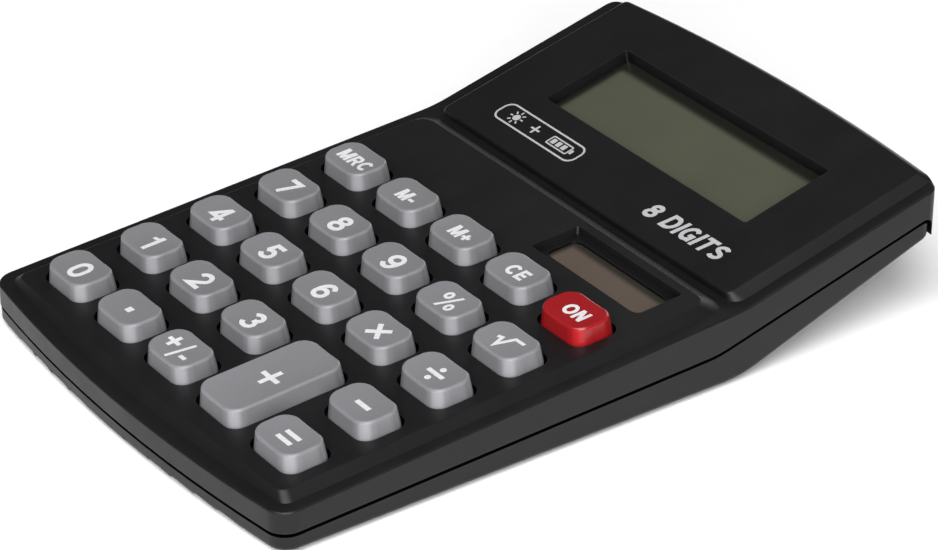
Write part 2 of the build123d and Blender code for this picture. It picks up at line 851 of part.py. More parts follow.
with BuildPart() as lcd_glass:
    add(box_below(display_plane, front_plate_centre, front_plate_size, front_plate_top, rear_plate_top, 0.3))
    add(box_below(display_plane, lcd_spot, glass_size, rear_plate_top, reflector_top, 0.3))

lcd_glass.part.label = "lcd_glass"
export_step(lcd_glass.part, "parts/lcd_glass.step")

lcd_reflector = box_below(
    display_plane,
    lcd_spot,
    (glass_size[0] - 1.0, glass_size[1] - 1.0),
    reflector_top,
    reflector_top + reflector_thickness,
)
lcd_reflector.label = "lcd_reflector"
export_step(lcd_reflector, "parts/lcd_reflector.step")

retainer_bottom = retainer_top + 1.0
ribbon_x = 7.0
ribbon_width = 24.0

with BuildPart() as lcd_retainer:
    with BuildSketch(display_plane.offset(-retainer_bottom)):
        with Locations(lcd_spot):
            RectangleRounded(2 * retainer_half[0], 2 * retainer_half[1], 1.0)
            RectangleRounded(38.0, 10.0, 1.0, mode=Mode.SUBTRACT)
        with Locations(*retainer_boss_spots):
            Circle(0.75, mode=Mode.SUBTRACT)
    extrude(amount=1.0)

lcd_retainer.part.label = "lcd_retainer"
export_step(lcd_retainer.part, "parts/lcd_retainer.step")

retainer_head = retainer_bottom + face_gap
with BuildPart() as retainer_screws:
    with BuildSketch(display_plane.offset(-retainer_head - 0.7)):
        with Locations(*retainer_boss_spots):
            Circle(1.1)
    extrude(amount=0.7)
    with BuildSketch(display_plane.offset(-retainer_head)):
        with Locations(*retainer_boss_spots):
            Circle(0.57)
    extrude(amount=2.4)
    add(
        cross_recess(display_plane.offset(-retainer_head - 0.7), retainer_boss_spots, 1.2),
        mode=Mode.SUBTRACT,
    )

retainer_screws.part.label = "retainer_screws"
export_step(retainer_screws.part, "parts/retainer_screws.step")


def side_point(plane, y, depth):
    """A side-view (Y, Z) point given along a tilted plane and below it."""
    spot = plane.from_local_coords((0, y, -depth))
    return (spot.Y, spot.Z)


# The ribbon runs from the contact ledge of the glass down to the rear edge of the board.
ribbon_lift = 0.075 + face_gap
ribbon_points = [
    side_point(display_plane, ledge_middle + 0.6, rear_plate_top - ribbon_lift),
    side_point(display_plane, lcd_local_y - glass_size[1] / 2 - 0.75, rear_plate_top - ribbon_lift),
    side_point(display_plane, lcd_local_y - glass_size[1] / 2 - 0.85, retainer_bottom + 0.9),
    side_point(deck_plane, 7.6, -board_top - 0.35),
    side_point(deck_plane, 6.4, -board_top - ribbon_lift),
    side_point(deck_plane, 5.1, -board_top - ribbon_lift),
]

with BuildPart() as lcd_ribbon:
    with BuildLine(Plane.YZ.offset(ribbon_x)) as ribbon_path:
        FilletPolyline(*ribbon_points, radius=0.4)
    with BuildSketch(Plane(origin=ribbon_path.line @ 0, x_dir=(1, 0, 0), z_dir=ribbon_path.line % 0)):
        Rectangle(ribbon_width, 0.15)
    sweep()

lcd_ribbon.part.label = "lcd_ribbon"
export_step(lcd_ribbon.part, "parts/lcd_ribbon.step")

# ---------------------------------------------------------------- solar cell

solar_top = solar_depth + face_gap
solar_back = solar_top + 1.1
solar_cell = box_below(deck_plane, solar_centre, (22.0, 7.4), solar_top, solar_back, 0.3)
solar_cell.label = "solar_cell"
export_step(solar_cell, "parts/solar_cell.step")


def solar_lead(x, label):
    """An insulated wire from the back of the solar cell to the rear edge of the board."""
    radius = 0.35
    points = [
        deck_plane.from_local_coords((x, 9.6, -solar_back - face_gap)),
        deck_plane.from_local_coords((x, 9.6, (board_top + board_bottom) / 2)),
        deck_plane.from_local_coords((x, board_rear + face_gap, (board_top + board_bottom) / 2)),
    ]
    with BuildPart() as lead:
        with BuildLine() as path:
            FilletPolyline(*points, radius=1.0)
        with BuildSketch(Plane(origin=path.line @ 0, z_dir=path.line % 0)):
            Circle(radius)
        sweep()
    lead.part.label = label
    export_step(lead.part, f"parts/{label}.step")


solar_lead(23.0, "solar_lead_red")
solar_lead(26.0, "solar_lead_black")

# ---------------------------------------------------------------- battery, contacts and door

with BuildPart() as button_cell:
    with BuildSketch(Plane.XY.offset(battery_bottom)):
        with Locations(battery_centre):
            Circle(battery_radius)
    extrude(amount=battery_height - 0.25)
    fillet(button_cell.edges().group_by(Axis.Z)[0], 0.4)
    fillet(button_cell.edges().group_by(Axis.Z)[-1], 0.3)
    with BuildSketch(Plane.XY.offset(battery_bottom + battery_height - 0.4)):
        with Locations(battery_centre):
            Circle(battery_radius - 1.3)
    extrude(amount=0.4)
    fillet(button_cell.edges().group_by(Axis.Z)[-1], 0.1)

button_cell.part.label = "button_cell"
export_step(button_cell.part, "parts/button_cell.step")

clip_thickness = 0.25
clip_minus_z = battery_bottom + battery_height + 0.06
clip_plus_x = battery_centre[0] + battery_radius + 0.06
clip_top = battery_roof + well_roof + 0.12

with BuildPart() as battery_clip_minus:
    with BuildSketch(Plane.XY.offset(clip_minus_z)):
        with Locations((battery_centre[0], battery_centre[1] - 3.4)):
            RectangleRounded(2.0, 12.0, 0.9)
        with Locations((battery_centre[0], battery_centre[1] + 1.6)):
            Circle(1.8)
    extrude(amount=clip_thickness)

battery_clip_minus.part.label = "battery_clip_minus"
export_step(battery_clip_minus.part, "parts/battery_clip_minus.step")

with BuildPart() as battery_clip_plus:
    with BuildSketch(Plane.YZ.offset(clip_plus_x)):
        with BuildLine():
            Polyline(
                (battery_centre[1] - 1.6, battery_bottom + 0.9),
                (battery_centre[1] + 1.6, battery_bottom + 0.9),
                (battery_centre[1] + 1.6, clip_top + 0.4),
                (battery_centre[1] - 3.6, clip_top + 0.4),
                (battery_centre[1] - 3.6, clip_top),
                (battery_centre[1] - 1.6, clip_top),
                close=True,
            )
        make_face()
    extrude(amount=clip_thickness)

battery_clip_plus.part.label = "battery_clip_plus"
export_step(battery_clip_plus.part, "parts/battery_clip_plus.step")

door_outline = [size - 2 * door_gap for size in door_size]

with BuildPart() as battery_door:
    with BuildSketch(Plane.XY.offset(foot_stand)):
        with Locations(door_centre):
            RectangleRounded(*door_outline, 1.4)
    extrude(amount=door_plate)
    with BuildSketch(Plane.XY.offset(door_seat)):
        with Locations(battery_centre):
            Circle(well_radius - 0.3)
        with Locations(door_screw_spot):
            Circle(2.6)
    extrude(amount=door_pad)
    with BuildSketch(Plane.XY.offset(door_seat)):
        with Locations((door_centre[0], slot_y - 0.2)):
            Rectangle(6.0, 2.4)
    extrude(amount=door_pad)
    with BuildSketch(Plane.XY.offset(door_seat)):
        with Locations(battery_centre):
            Circle(well_radius - 1.6)
    extrude(amount=door_pad, mode=Mode.SUBTRACT)
    for offset in (0, 1.5, 3.0):
        with BuildSketch(Plane.XY.offset(foot_stand)):
            with Locations((door_centre[0], door_centre[1] - 1.2 - offset)):
                SlotOverall(9.0 - offset, 0.7)
        extrude(amount=0.2, mode=Mode.SUBTRACT)
    with BuildSketch(Plane.XY.offset(foot_stand)):
        with Locations(door_screw_spot):
            Circle(1.75)
    extrude(amount=0.65, mode=Mode.SUBTRACT)
    with BuildSketch(Plane.XY.offset(foot_stand)):
        with Locations(door_screw_spot):
            Circle(0.85)
    extrude(amount=2, mode=Mode.SUBTRACT)

battery_door.part.label = "battery_door"
export_step(battery_door.part, "parts/battery_door.step")

with BuildPart() as battery_door_screw:
    with BuildSketch(Plane.XY.offset(foot_stand + 0.05)):
        with Locations(door_screw_spot):
            Circle(1.5)
    extrude(amount=0.58)
    fillet(battery_door_screw.edges().group_by(Axis.Z)[0], 0.15)
    with BuildSketch(Plane.XY.offset(foot_stand + 0.6)):
        with Locations(door_screw_spot):
            Circle(door_screw_radius)
    extrude(amount=2.8)
    add(cross_recess(Plane.XY.offset(foot_stand + 0.05), [door_screw_spot], 1.6), mode=Mode.SUBTRACT)

battery_door_screw.part.label = "battery_door_screw"
export_step(battery_door_screw.part, "parts/battery_door_screw.step")

# ---------------------------------------------------------------- housing screws and feet

with BuildPart() as housing_screws:
    for (x, y), length in zip(housing_screw_spots, housing_screw_lengths):
        seat = bottom_height(y) + head_seat_rise - face_gap
        with BuildSketch(Plane.XY.offset(seat - screw_head_height)):
            with Locations((x, y)):
                Circle(screw_head_radius)
        extrude(amount=screw_head_height)
        with BuildSketch(Plane.XY.offset(seat)):
            with Locations((x, y)):
                Circle(screw_radius)
        extrude(amount=length)
        add(cross_recess(Plane.XY.offset(seat - screw_head_height), [(x, y)], 1.9), mode=Mode.SUBTRACT)

housing_screws.part.label = "housing_screws"
export_step(housing_screws.part, "parts/housing_screws.step")

with BuildPart() as rubber_feet:
    with BuildSketch():
        with Locations(*foot_spots):
            Circle(foot_radius)
    extrude(amount=foot_stand + foot_recess - face_gap)
    fillet(rubber_feet.edges().group_by(Axis.Z)[0], 0.15)

rubber_feet.part.label = "rubber_feet"
export_step(rubber_feet.part, "parts/rubber_feet.step")
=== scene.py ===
import json
import math

import bmesh
import bpy
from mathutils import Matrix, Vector
from mathutils.geometry import delaunay_2d_cdt


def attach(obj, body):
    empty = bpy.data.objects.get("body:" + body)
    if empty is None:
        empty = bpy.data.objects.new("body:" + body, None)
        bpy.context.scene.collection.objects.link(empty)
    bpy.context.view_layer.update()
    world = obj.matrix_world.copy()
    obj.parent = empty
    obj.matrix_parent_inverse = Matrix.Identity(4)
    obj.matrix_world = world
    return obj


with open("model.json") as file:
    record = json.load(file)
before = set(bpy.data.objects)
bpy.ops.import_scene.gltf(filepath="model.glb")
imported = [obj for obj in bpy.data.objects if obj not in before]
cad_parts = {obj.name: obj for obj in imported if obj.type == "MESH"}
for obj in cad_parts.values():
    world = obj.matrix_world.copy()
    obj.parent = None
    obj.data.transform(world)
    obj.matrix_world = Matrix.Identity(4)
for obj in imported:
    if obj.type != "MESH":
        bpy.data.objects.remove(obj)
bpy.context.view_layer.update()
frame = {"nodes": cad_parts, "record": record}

MM = 0.001

# Planes of the keypad deck and the display panel: a side-view point in mm and a slope in degrees.
DECK = ((0.0, 10.49), 3.66)
DISPLAY = ((28.93, 13.96), 13.52)

# Keys, in mm: the pitch of the grid, the height of a key over the deck, and its dished top.
COLUMN_PITCH = 12.6
ROW_PITCH = 10.95
KEY_HEIGHT = 2.3
DISH_DEPTH = 0.26
DISH_RADIUS = 42.0

# Print, in mm: where the film of paint starts and ends, and the sizes and places of the marks.
PRINT_TOP = 0.03
PRINT_FOOT = -0.02
LEGEND_SHIFT = (0.4, -0.3)
FIGURE_HEIGHT = 3.7
WORD_HEIGHT = 2.35
WORD_WEIGHT = 0.22
POWER_MARK_CENTRE = (-16.3, -4.4)
DIGITS_MARK_CENTRE = (17.5, -5.2)
DIGITS_MARK_HEIGHT = 3.0
DIGITS_MARK_WEIGHT = 0.21
DIGITS_MARK_LEAN = 0.2

# Lettering: the gap between letters over their height, and the least cosine that a mitre divides by.
LETTER_GAP = 0.12
MITRE_LIMIT = 0.35

# Surfaces, in features per metre and metres.
CLOUD_SCALE = 60.0
SMUDGE_SCALE = 170.0
CHIPPED_EDGE_SCALE = 900.0
WAVE_SCALE = 25.0
WAVE_HEIGHT = 0.00012
GRAIN_HEIGHT = 0.00002
POLISH_HEIGHT = 0.00001
CASE_EDGE = 0.00035
KEY_EDGE = 0.0009
# How far nearby walls paint shade into the housing's recesses, in metres.
PAINTED_SHADE_REACH = 0.0025

# Windows, in metres in the part's own coordinates: centre and half sizes.
DISPLAY_WINDOW = ((0.0, 0.0376), (0.0219, 0.0069))
SOLAR_WINDOW = ((0.0172, 0.0107), (0.0099, 0.0026))
SOLAR_STRIP_START = 0.0074
SOLAR_STRIP_WIDTH = 0.0049

# Studio, in metres, watts and degrees.
FLOOR_REACH = 3.0
SOFTBOXES = (
    ("overhead", (0.35, -0.5, 1.0), (0, 0, 0), 1.0, 17.5),
    ("camera_side", (0.60, -0.38, 0.30), (0, 0, 0.01), 0.5, 5.2),
    ("rear_fill", (-0.6, 1.0, 0.4), (0, 0, 0.01), 0.6, 2.2),
)
WORLD_TONE = (0.06, 0.06, 0.062, 1.0)
CAMERA_PLACE = (0.34505, -0.24418, 0.24915)
VIEW_AZIMUTH = math.radians(54.6)
VIEW_ELEVATION = math.radians(29.92)
SENSOR_WIDTH = 36.0
LENS = 140.19


# ---------------------------------------------------------------- shader helpers

class Shader:
    """A material with one Principled shader, and short calls to add nodes in front of it."""

    def __init__(self, name):
        self.material = bpy.data.materials.new(name)
        self.material.use_nodes = True
        self.tree = self.material.node_tree
        self.tree.nodes.clear()
        output = self.node("ShaderNodeOutputMaterial")
        self.bsdf = self.node("ShaderNodeBsdfPrincipled")
        self.link(self.bsdf.outputs[0], output.inputs["Surface"])
        self.coords = self.node("ShaderNodeTexCoord").outputs["Object"]

    def node(self, kind, **settings):
        made = self.tree.nodes.new(kind)
        for key, value in settings.items():
            setattr(made, key, value)
        return made

    def link(self, source, target):
        self.tree.links.new(source, target)

    def put(self, target, value):
        """A socket links, and anything else is a constant."""
        if isinstance(value, bpy.types.NodeSocket):
            self.link(value, target)
        else:
            target.default_value = value

    def noise(self, scale, detail, roughness=0.5, stretch=None):
        """Noise in the part's own coordinates; scale counts features per metre."""
        source = self.coords
        if stretch:
            mapping = self.node("ShaderNodeMapping")
            mapping.inputs["Scale"].default_value = stretch
            self.link(source, mapping.inputs["Vector"])
            source = mapping.outputs[0]
        made = self.node("ShaderNodeTexNoise")
        self.link(source, made.inputs["Vector"])
        made.inputs["Scale"].default_value = scale
        made.inputs["Detail"].default_value = detail
        made.inputs["Roughness"].default_value = roughness
        return made.outputs["Fac"]

    def math(self, operation, a, b=None, clamp=False):
        made = self.node("ShaderNodeMath", operation=operation, use_clamp=clamp)
        self.put(made.inputs[0], a)
        if b is not None:
            self.put(made.inputs[1], b)
        return made.outputs[0]

    def remap(self, value, low, high, to_low, to_high, smooth=False):
        """low to high becomes to_low to to_high, held at both ends."""
        made = self.node("ShaderNodeMapRange")
        made.interpolation_type = "SMOOTHSTEP" if smooth else "LINEAR"
        self.put(made.inputs["Value"], value)
        made.inputs["From Min"].default_value = low
        made.inputs["From Max"].default_value = high
        made.inputs["To Min"].default_value = to_low
        made.inputs["To Max"].default_value = to_high
        return made.outputs["Result"]

    def mix(self, factor, a, b):
        made = self.node("ShaderNodeMix", data_type="RGBA")
        self.put(made.inputs["Factor"], factor)
        for socket, value in ((made.inputs[6], a), (made.inputs[7], b)):
            self.put(socket, value if isinstance(value, bpy.types.NodeSocket) else (*value, 1.0))
        return made.outputs[2]

    def bump(self, height, strength, distance, normal=None):
        made = self.node("ShaderNodeBump")
        self.link(height, made.inputs["Height"])
        made.inputs["Strength"].default_value = strength
        made.inputs["Distance"].default_value = distance
        if normal:
            self.link(normal, made.inputs["Normal"])
        return made.outputs["Normal"]

    def edge(self, radius):
        """0 on open faces, 1 on edges: how far a rounded normal leans from the true one."""
        rounded = self.node("ShaderNodeBevel", samples=4)
        rounded.inputs["Radius"].default_value = radius
        true_normal = self.node("ShaderNodeNewGeometry").outputs["Normal"]
        dot = self.node("ShaderNodeVectorMath", operation="DOT_PRODUCT")
        self.link(rounded.outputs[0], dot.inputs[0])
        self.link(true_normal, dot.inputs[1])
        lean = self.math("SUBTRACT", 1.0, dot.outputs["Value"])
        return self.remap(lean, 0.02, 0.35, 0.0, 1.0, smooth=True)

    def set(self, **values):
        """Principled inputs by name, with an underscore for each space."""
        for key, value in values.items():
            self.put(self.bsdf.inputs[key.replace("_", " ")], value)


def shade(colour, amount):
    return tuple(channel * amount for channel in colour)


# ---------------------------------------------------------------- materials

def moulded_plastic(
    name,
    colour,
    edge_colour,
    roughness,
    specular,
    grain,
    edge_wear_and_highlight=0.6,
    grain_size=5200.0,
    edge_radius=CASE_EDGE,
    painted_side_light=0.0,
    painted_corner_highlight=0.0,
    shade_reach=0.0,
):
    """Moulded plastic: fine spark-eroded grain, faint cloudiness, soft smudges, and paler edges:
    rubbed on the housing, a painted highlight on the keys.

    The side and corner gains paint light: the sides lighter and the corners between sides a painted
    highlight. The shade reach is how far, in metres, nearby walls paint shade into a narrow place.
    """
    s = Shader(name)
    cloud = s.noise(CLOUD_SCALE, detail=3.0)
    speckle = s.noise(grain_size, detail=1.0)
    smudge = s.noise(SMUDGE_SCALE, detail=4.0, roughness=0.6, stretch=(1.0, 0.6, 1.0))
    tone = s.mix(s.remap(cloud, 0.3, 0.7, 0.0, 1.0), shade(colour, 0.9), shade(colour, 1.1))
    tone = s.mix(s.remap(speckle, 0.35, 0.75, 0.0, 0.5), tone, shade(colour, 1.35))
    # Painted light: lighter sides, and a painted highlight on the corners between sides.
    if painted_side_light:
        facing = s.node("ShaderNodeSeparateXYZ")
        s.link(s.node("ShaderNodeNewGeometry").outputs["Normal"], facing.inputs[0])
        side_light_mask = s.math("SUBTRACT", 1.0, facing.outputs[2], clamp=True)
        tone = s.mix(side_light_mask, tone, shade(colour, 1.0 + painted_side_light))
        slant = s.math("ABSOLUTE", s.math("MULTIPLY", facing.outputs[0], facing.outputs[1]))
        corner_highlight_mask = s.remap(slant, 0.28, 0.5, 0.0, 1.0, smooth=True)
        tone = s.mix(corner_highlight_mask, tone, shade(colour, 1.0 + painted_corner_highlight))
    # Paler edges: rubbed plastic on the housing, a painted highlight along the key edges.
    edges = s.edge(edge_radius)
    broken = s.remap(s.noise(CHIPPED_EDGE_SCALE, detail=3.0), 0.3, 0.65, 0.35, 1.0)
    worn_and_lit_edges = s.math("MULTIPLY", s.math("MULTIPLY", edges, broken), edge_wear_and_highlight)
    tone = s.mix(worn_and_lit_edges, tone, edge_colour)
    # Painted shade: the colour goes to black where nearby walls close in, in recesses and gaps.
    if shade_reach:
        occlusion = s.node("ShaderNodeAmbientOcclusion", samples=4)
        occlusion.inputs["Distance"].default_value = shade_reach
        painted_shade = s.remap(occlusion.outputs["AO"], 0.3, 0.9, 0.0, 1.0)
        tone = s.mix(painted_shade, (0.0, 0.0, 0.0), tone)
    s.set(Base_Color=tone)
    rough = s.remap(smudge, 0.3, 0.7, roughness - 0.05, roughness + 0.05)
    s.set(Roughness=s.math("SUBTRACT", rough, s.math("MULTIPLY", worn_and_lit_edges, 0.08)))
    s.bsdf.inputs["Specular IOR Level"].default_value = specular
    fine = s.bump(speckle, grain, GRAIN_HEIGHT)
    s.set(Normal=s.bump(s.noise(WAVE_SCALE, detail=2.0), 0.25, WAVE_HEIGHT, fine))
    return s


housing = moulded_plastic(
    "housing_black",
    colour=(0.0070, 0.0070, 0.0076),
    edge_colour=(0.035, 0.035, 0.037),
    roughness=0.40,
    specular=0.26,
    grain=0.5,
    shade_reach=PAINTED_SHADE_REACH,
)
# The keys carry painted light: lighter sides, highlighted corners and pale edges.
keys_grey = moulded_plastic(
    "key_grey",
    colour=(0.165, 0.165, 0.174),
    edge_colour=(0.33, 0.33, 0.345),
    roughness=0.36,
    specular=0.45,
    grain=0.16,
    edge_wear_and_highlight=0.8,
    grain_size=7000.0,
    edge_radius=KEY_EDGE,
    painted_side_light=0.1,
    painted_corner_highlight=0.75,
)
keys_red = moulded_plastic(
    "key_red",
    colour=(0.25, 0.008, 0.010),
    edge_colour=(0.55, 0.09, 0.08),
    roughness=0.2,
    specular=0.5,
    grain=0.06,
    edge_wear_and_highlight=0.55,
    grain_size=7000.0,
    painted_side_light=0.05,
    painted_corner_highlight=0.5,
)
retainer = moulded_plastic(
    "retainer_grey",
    colour=(0.03, 0.03, 0.03),
    edge_colour=(0.08, 0.08, 0.08),
    roughness=0.5,
    specular=0.4,
    grain=0.5,
)


def print_paint(name, level):
    """Pad print of an even grey level, with pinholes and a slightly uneven film."""
    s = Shader(name)
    film = s.noise(2600.0, detail=3.0)
    holes = s.remap(s.noise(9000.0, detail=1.0), 0.24, 0.34, 0.0, 1.0)
    white = (level, level, level * 1.02)
    tone = s.mix(s.remap(film, 0.3, 0.7, 0.0, 1.0), shade(white, 0.94), shade(white, 1.06))
    s.set(Base_Color=s.mix(holes, shade(white, 0.6), tone))
    s.set(Roughness=s.remap(film, 0.3, 0.7, 0.4, 0.55))
    s.bsdf.inputs["Specular IOR Level"].default_value = 0.35
    s.set(Normal=s.bump(film, 0.2, GRAIN_HEIGHT))
    return s


white_print = print_paint("print_white", 0.62)
silver_print = print_paint("print_silver", 0.40)


# The mask places painted shade of a window's walls along its edges.
def window_frame(s, window, rear_shade_width, left_shade_width, fade):
    """0 at the edge of a window and 1 well inside it.

    The rear and the left have a dark mask before the fade, and the other edges fade more quickly.
    """
    centre, half = window
    quick_fade = fade * 0.25
    split = s.node("ShaderNodeSeparateXYZ")
    s.link(s.coords, split.inputs[0])
    offset = s.math("SUBTRACT", split.outputs[0], centre[0])
    along = s.math("SUBTRACT", split.outputs[1], centre[1])
    side = s.math("SUBTRACT", half[0], s.math("ABSOLUTE", offset))
    left = s.math("ADD", offset, half[0])
    rear = s.math("SUBTRACT", half[1], along)
    front = s.math("ADD", half[1], along)
    past_rear = s.remap(rear, rear_shade_width, rear_shade_width + fade, 0.0, 1.0, smooth=True)
    past_left = s.remap(left, left_shade_width, left_shade_width + fade, 0.0, 1.0, smooth=True)
    past_side = s.remap(side, 0.0, quick_fade, 0.0, 1.0, smooth=True)
    past_front = s.remap(front, 0.0, quick_fade, 0.0, 1.0, smooth=True)
    far_pair = s.math("MULTIPLY", past_rear, past_left)
    return s.math("MULTIPLY", far_pair, s.math("MULTIPLY", past_side, past_front))


def display_film():
    """Olive polariser film over the display glass, darker under the rear and left of the frame:
    painted shade.
    """
    s = Shader("polariser_olive")
    inner = window_frame(s, DISPLAY_WINDOW, rear_shade_width=0.0012, left_shade_width=0.0003, fade=0.0013)
    cloud = s.noise(90.0, detail=2.0)
    patchy = s.remap(cloud, 0.3, 0.7, 0.0, 1.0)
    tone = s.mix(patchy, (0.064, 0.068, 0.047), (0.070, 0.074, 0.051))
    # Painted shade: the film goes nearly black along the window's edges, widest at the rear and the
    # left.
    s.set(Base_Color=s.mix(inner, (0.010, 0.011, 0.008), tone))
    s.set(Roughness=s.remap(s.noise(400.0, detail=3.0), 0.3, 0.7, 0.16, 0.24))
    s.bsdf.inputs["Specular IOR Level"].default_value = 0.4
    s.bsdf.inputs["Coat Weight"].default_value = 0.3
    s.bsdf.inputs["Coat Roughness"].default_value = 0.12
    s.set(Normal=s.bump(s.noise(6000.0, detail=1.0), 0.05, POLISH_HEIGHT))
    return s


def solar_film():
    """Amorphous solar cell: brown-grey strips, a dark margin of painted shade and hairline divisions.
    """
    s = Shader("solar_cell")
    inner = window_frame(s, SOLAR_WINDOW, rear_shade_width=0.0003, left_shade_width=0.0, fade=0.0011)
    split = s.node("ShaderNodeSeparateXYZ")
    s.link(s.coords, split.inputs[0])
    from_start = s.math("SUBTRACT", split.outputs[0], SOLAR_STRIP_START)
    strips = s.math("MULTIPLY", from_start, 1.0 / SOLAR_STRIP_WIDTH)
    phase = s.math("ABSOLUTE", s.math("SUBTRACT", s.math("FRACT", strips), 0.5))
    line = s.remap(phase, 0.485, 0.495, 0.0, 0.35, smooth=True)
    sheen = s.noise(140.0, detail=2.0)
    patchy = s.remap(sheen, 0.3, 0.7, 0.0, 1.0)
    tone = s.mix(patchy, (0.094, 0.070, 0.057), (0.094, 0.076, 0.060))
    tone = s.mix(line, tone, (0.05, 0.042, 0.036))
    # Painted shade: a dark margin along the cell's edges, a little wider at the rear.
    s.set(Base_Color=s.mix(inner, (0.028, 0.025, 0.020), tone))
    s.set(Roughness=s.remap(sheen, 0.3, 0.7, 0.12, 0.18))
    s.bsdf.inputs["Specular IOR Level"].default_value = 0.4
    s.set(Normal=s.bump(s.noise(3000.0, detail=1.0), 0.03, POLISH_HEIGHT))
    return s


def metal(name, colour, roughness, stretch):
    """Plated or sprung metal with fine directional scratches and dull patches."""
    s = Shader(name)
    scratches = s.noise(2500.0, detail=3.0, stretch=stretch)
    patches = s.noise(350.0, detail=3.0)
    s.set(Base_Color=s.mix(s.remap(patches, 0.3, 0.7, 0.0, 1.0), shade(colour, 0.82), colour))
    s.set(Roughness=s.remap(scratches, 0.3, 0.7, roughness - 0.07, roughness + 0.09))
    s.bsdf.inputs["Metallic"].default_value = 1.0
    s.set(Normal=s.bump(scratches, 0.3, POLISH_HEIGHT))
    return s


def rubber(name, colour, roughness):
    """Silicone or rubber: matte, slightly dusty, with a fine skin."""
    s = Shader(name)
    dust = s.noise(700.0, detail=4.0, roughness=0.65)
    s.set(Base_Color=s.mix(s.remap(dust, 0.4, 0.75, 0.0, 0.6), colour, shade(colour, 1.9)))
    s.set(Roughness=s.remap(dust, 0.3, 0.7, roughness - 0.06, roughness + 0.06))
    s.bsdf.inputs["Specular IOR Level"].default_value = 0.3
    s.set(Normal=s.bump(s.noise(5200.0, detail=2.0), 0.4, GRAIN_HEIGHT))
    return s


def laminate(name, colour, other, roughness, scale):
    """Board laminate, ceramic or film: two close tones in a fine pattern."""
    s = Shader(name)
    weave = s.noise(scale, detail=3.0, stretch=(1.0, 0.35, 1.0))
    s.set(Base_Color=s.mix(s.remap(weave, 0.35, 0.65, 0.0, 1.0), colour, other))
    s.set(Roughness=s.remap(weave, 0.3, 0.7, roughness - 0.06, roughness + 0.06))
    s.bsdf.inputs["Specular IOR Level"].default_value = 0.4
    s.set(Normal=s.bump(weave, 0.15, GRAIN_HEIGHT))
    return s


def clear_glass():
    """Thin display glass, faintly green, with polish marks."""
    s = Shader("display_glass")
    marks = s.noise(900.0, detail=2.0)
    patchy = s.remap(marks, 0.3, 0.7, 0.0, 1.0)
    s.set(Base_Color=s.mix(patchy, (0.78, 0.85, 0.78), (0.82, 0.88, 0.80)))
    s.set(Roughness=s.remap(marks, 0.3, 0.7, 0.02, 0.05))
    s.bsdf.inputs["Transmission Weight"].default_value = 0.9
    s.bsdf.inputs["IOR"].default_value = 1.5
    return s


foot_rubber = rubber("foot_rubber", (0.012, 0.012, 0.012), 0.72)
silicone = rubber("mat_silicone", (0.36, 0.37, 0.38), 0.6)
screw_steel = metal("screw_steel", (0.34, 0.34, 0.36), 0.34, (1.0, 1.0, 1.0))
clip_steel = metal("clip_steel", (0.60, 0.58, 0.52), 0.28, (0.2, 3.0, 1.0))
can_steel = metal("cell_can", (0.62, 0.62, 0.62), 0.2, (1.0, 1.0, 4.0))
foil = metal("reflector_foil", (0.60, 0.62, 0.54), 0.4, (0.4, 2.0, 1.0))
board = laminate("board_laminate", (0.26, 0.16, 0.06), (0.34, 0.22, 0.09), 0.5, 1800.0)
ceramic = laminate("chip_ceramic", (0.42, 0.29, 0.16), (0.50, 0.36, 0.21), 0.45, 2600.0)
epoxy = laminate("epoxy_black", (0.010, 0.010, 0.011), (0.016, 0.016, 0.016), 0.25, 500.0)
sleeve = laminate("capacitor_sleeve", (0.012, 0.018, 0.05), (0.016, 0.024, 0.07), 0.3, 900.0)
diode_glass = laminate("diode_glass", (0.36, 0.07, 0.02), (0.46, 0.11, 0.03), 0.15, 900.0)
film = laminate("ribbon_film", (0.16, 0.13, 0.09), (0.22, 0.18, 0.12), 0.3, 2200.0)
lead_red = laminate("lead_red", (0.42, 0.015, 0.015), (0.50, 0.02, 0.02), 0.35, 1500.0)
lead_black = laminate("lead_black", (0.012, 0.012, 0.012), (0.018, 0.018, 0.018), 0.35, 1500.0)

SLOT_SHADERS = {
    "housing": housing,
    "key_grey": keys_grey,
    "key_red": keys_red,
    "retainer": retainer,
    "silicone": silicone,
    "board": board,
    "epoxy": epoxy,
    "component": ceramic,
    "component_sleeve": sleeve,
    "component_glass": diode_glass,
    "screw": screw_steel,
    "polariser": display_film(),
    "lcd_glass": clear_glass(),
    "reflector": foil,
    "ribbon": film,
    "solar": solar_film(),
    "lead_red": lead_red,
    "lead_black": lead_black,
    "cell_can": can_steel,
    "clip": clip_steel,
    "foot_rubber": foot_rubber,
}

slot_of = {entry["node"]: entry["material_slot"] for entry in frame["record"]["subparts"]}
for node_name, node_object in frame["nodes"].items():
    material = SLOT_SHADERS[slot_of[node_name]].material
    for material_slot in node_object.material_slots:
        material_slot.material = material


# ---------------------------------------------------------------- printed marks

def on_plane(plane, x, y, lift):
    """A point in metres from millimetres along a tilted plane and above it."""
    (ref_y, ref_z), angle = plane
    sine = math.sin(math.radians(angle))
    cosine = math.cos(math.radians(angle))
    return Vector((x, ref_y + y * cosine - lift * sine, ref_z + y * sine + lift * cosine)) * MM


def add_polygon(shape, points):
    """One flat face with these corners."""
    shape.faces.new([shape.verts.new((x, y, 0.0)) for x, y in points])


def add_bar(shape, start, end, width):
    """A straight stroke between two points."""
    direction = (Vector(end) - Vector(start)).normalized()
    side = Vector((-direction.y, direction.x)) * (width / 2)
    corners = [Vector(start) + side, Vector(start) - side, Vector(end) - side, Vector(end) + side]
    add_polygon(shape, [tuple(c) for c in corners])


